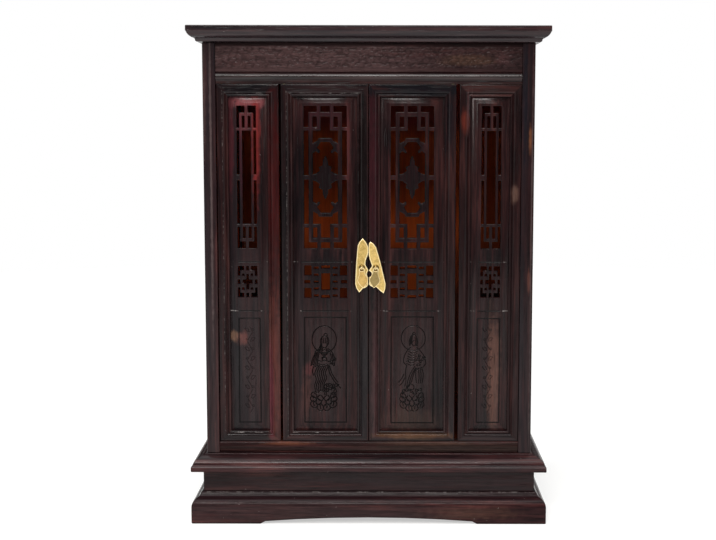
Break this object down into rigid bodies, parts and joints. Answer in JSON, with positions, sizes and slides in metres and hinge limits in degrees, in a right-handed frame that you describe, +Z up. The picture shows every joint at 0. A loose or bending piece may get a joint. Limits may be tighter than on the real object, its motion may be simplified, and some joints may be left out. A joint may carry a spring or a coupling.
{
  "type": "household altar cabinet",
  "caption": "Small upright dark wood altar cabinet with a moulded top and base, pierced and engraved panels, hinged middle doors and leaf-shaped brass pulls with hanging drops.",
  "frame": {"origin": "middle of the bounding box's footprint, on the floor under the base", "axes": "+X to the viewer's right, +Y from the front to the back, +Z up; the doors face -Y"},
  "size_m": [0.36, 0.27, 0.5],
  "materials": {
    "rosewood": "semi-gloss dark stain and lacquer",
    "inner_wood": "satin orange-brown lacquer",
    "brass": "polished, pale gold"
  },
  "bodies": {
    "cabinet": {"top_board": "rosewood", "base_board": "rosewood", "plinth_front": "rosewood", "plinth_left": "rosewood", "plinth_right": "rosewood", "plinth_back": "rosewood", "waist_front": "rosewood", "waist_left": "rosewood", "waist_right": "rosewood", "waist_back": "rosewood", "front_post_left": "rosewood", "front_post_right": "rosewood", "back_post_left": "rosewood", "back_post_right": "rosewood", "side_rail_low_left": "rosewood", "side_rail_low_right": "rosewood", "side_rail_high_left": "rosewood", "side_rail_high_right": "rosewood", "side_panel_left": "rosewood", "side_panel_right": "rosewood", "back_board": "inner_wood", "floor_board": "inner_wood", "frieze_board": "rosewood", "head_rail": "rosewood", "sill_rail": "rosewood", "left_fixed_stile_left": "rosewood", "left_fixed_stile_right": "rosewood", "left_fixed_rail_low": "rosewood", "left_fixed_rail_high": "rosewood", "left_fixed_panel": "rosewood", "right_fixed_stile_left": "rosewood", "right_fixed_stile_right": "rosewood", "right_fixed_rail_low": "rosewood", "right_fixed_rail_high": "rosewood", "right_fixed_panel": "rosewood", "left_door_pin_low": "brass", "left_door_pin_high": "brass", "right_door_pin_low": "brass", "right_door_pin_high": "brass"},
    "left_door": {"left_door_stile_left": "rosewood", "left_door_stile_right": "rosewood", "left_door_rail_low": "rosewood", "left_door_rail_high": "rosewood", "left_door_panel": "rosewood", "left_pull_plate": "brass", "left_pull_eye": "brass"},
    "left_pull": {"left_pull_drop": "brass"},
    "right_door": {"right_door_stile_left": "rosewood", "right_door_stile_right": "rosewood", "right_door_rail_low": "rosewood", "right_door_rail_high": "rosewood", "right_door_panel": "rosewood", "right_pull_plate": "brass", "right_pull_eye": "brass"},
    "right_pull": {"right_pull_drop": "brass"}
  },
  "joints": [
    {"name": "left_door_hinge", "type": "hinge", "parent": "cabinet", "child": "left_door", "pos_m": [-0.0844, -0.1156, 0.0825], "axis": [0, 0, -1], "range_deg": [0, 105]},
    {"name": "right_door_hinge", "type": "hinge", "parent": "cabinet", "child": "right_door", "pos_m": [0.0838, -0.1156, 0.0825], "axis": [0, 0, 1], "range_deg": [0, 105]},
    {"name": "left_pull_swing", "type": "hinge", "parent": "left_door", "child": "left_pull", "pos_m": [-0.007, -0.1215, 0.2603], "axis": [-1, 0, 0], "range_deg": [0, 165]},
    {"name": "right_pull_swing", "type": "hinge", "parent": "right_door", "child": "right_pull", "pos_m": [0.007, -0.1215, 0.2603], "axis": [-1, 0, 0], "range_deg": [0, 165]}
  ]
}
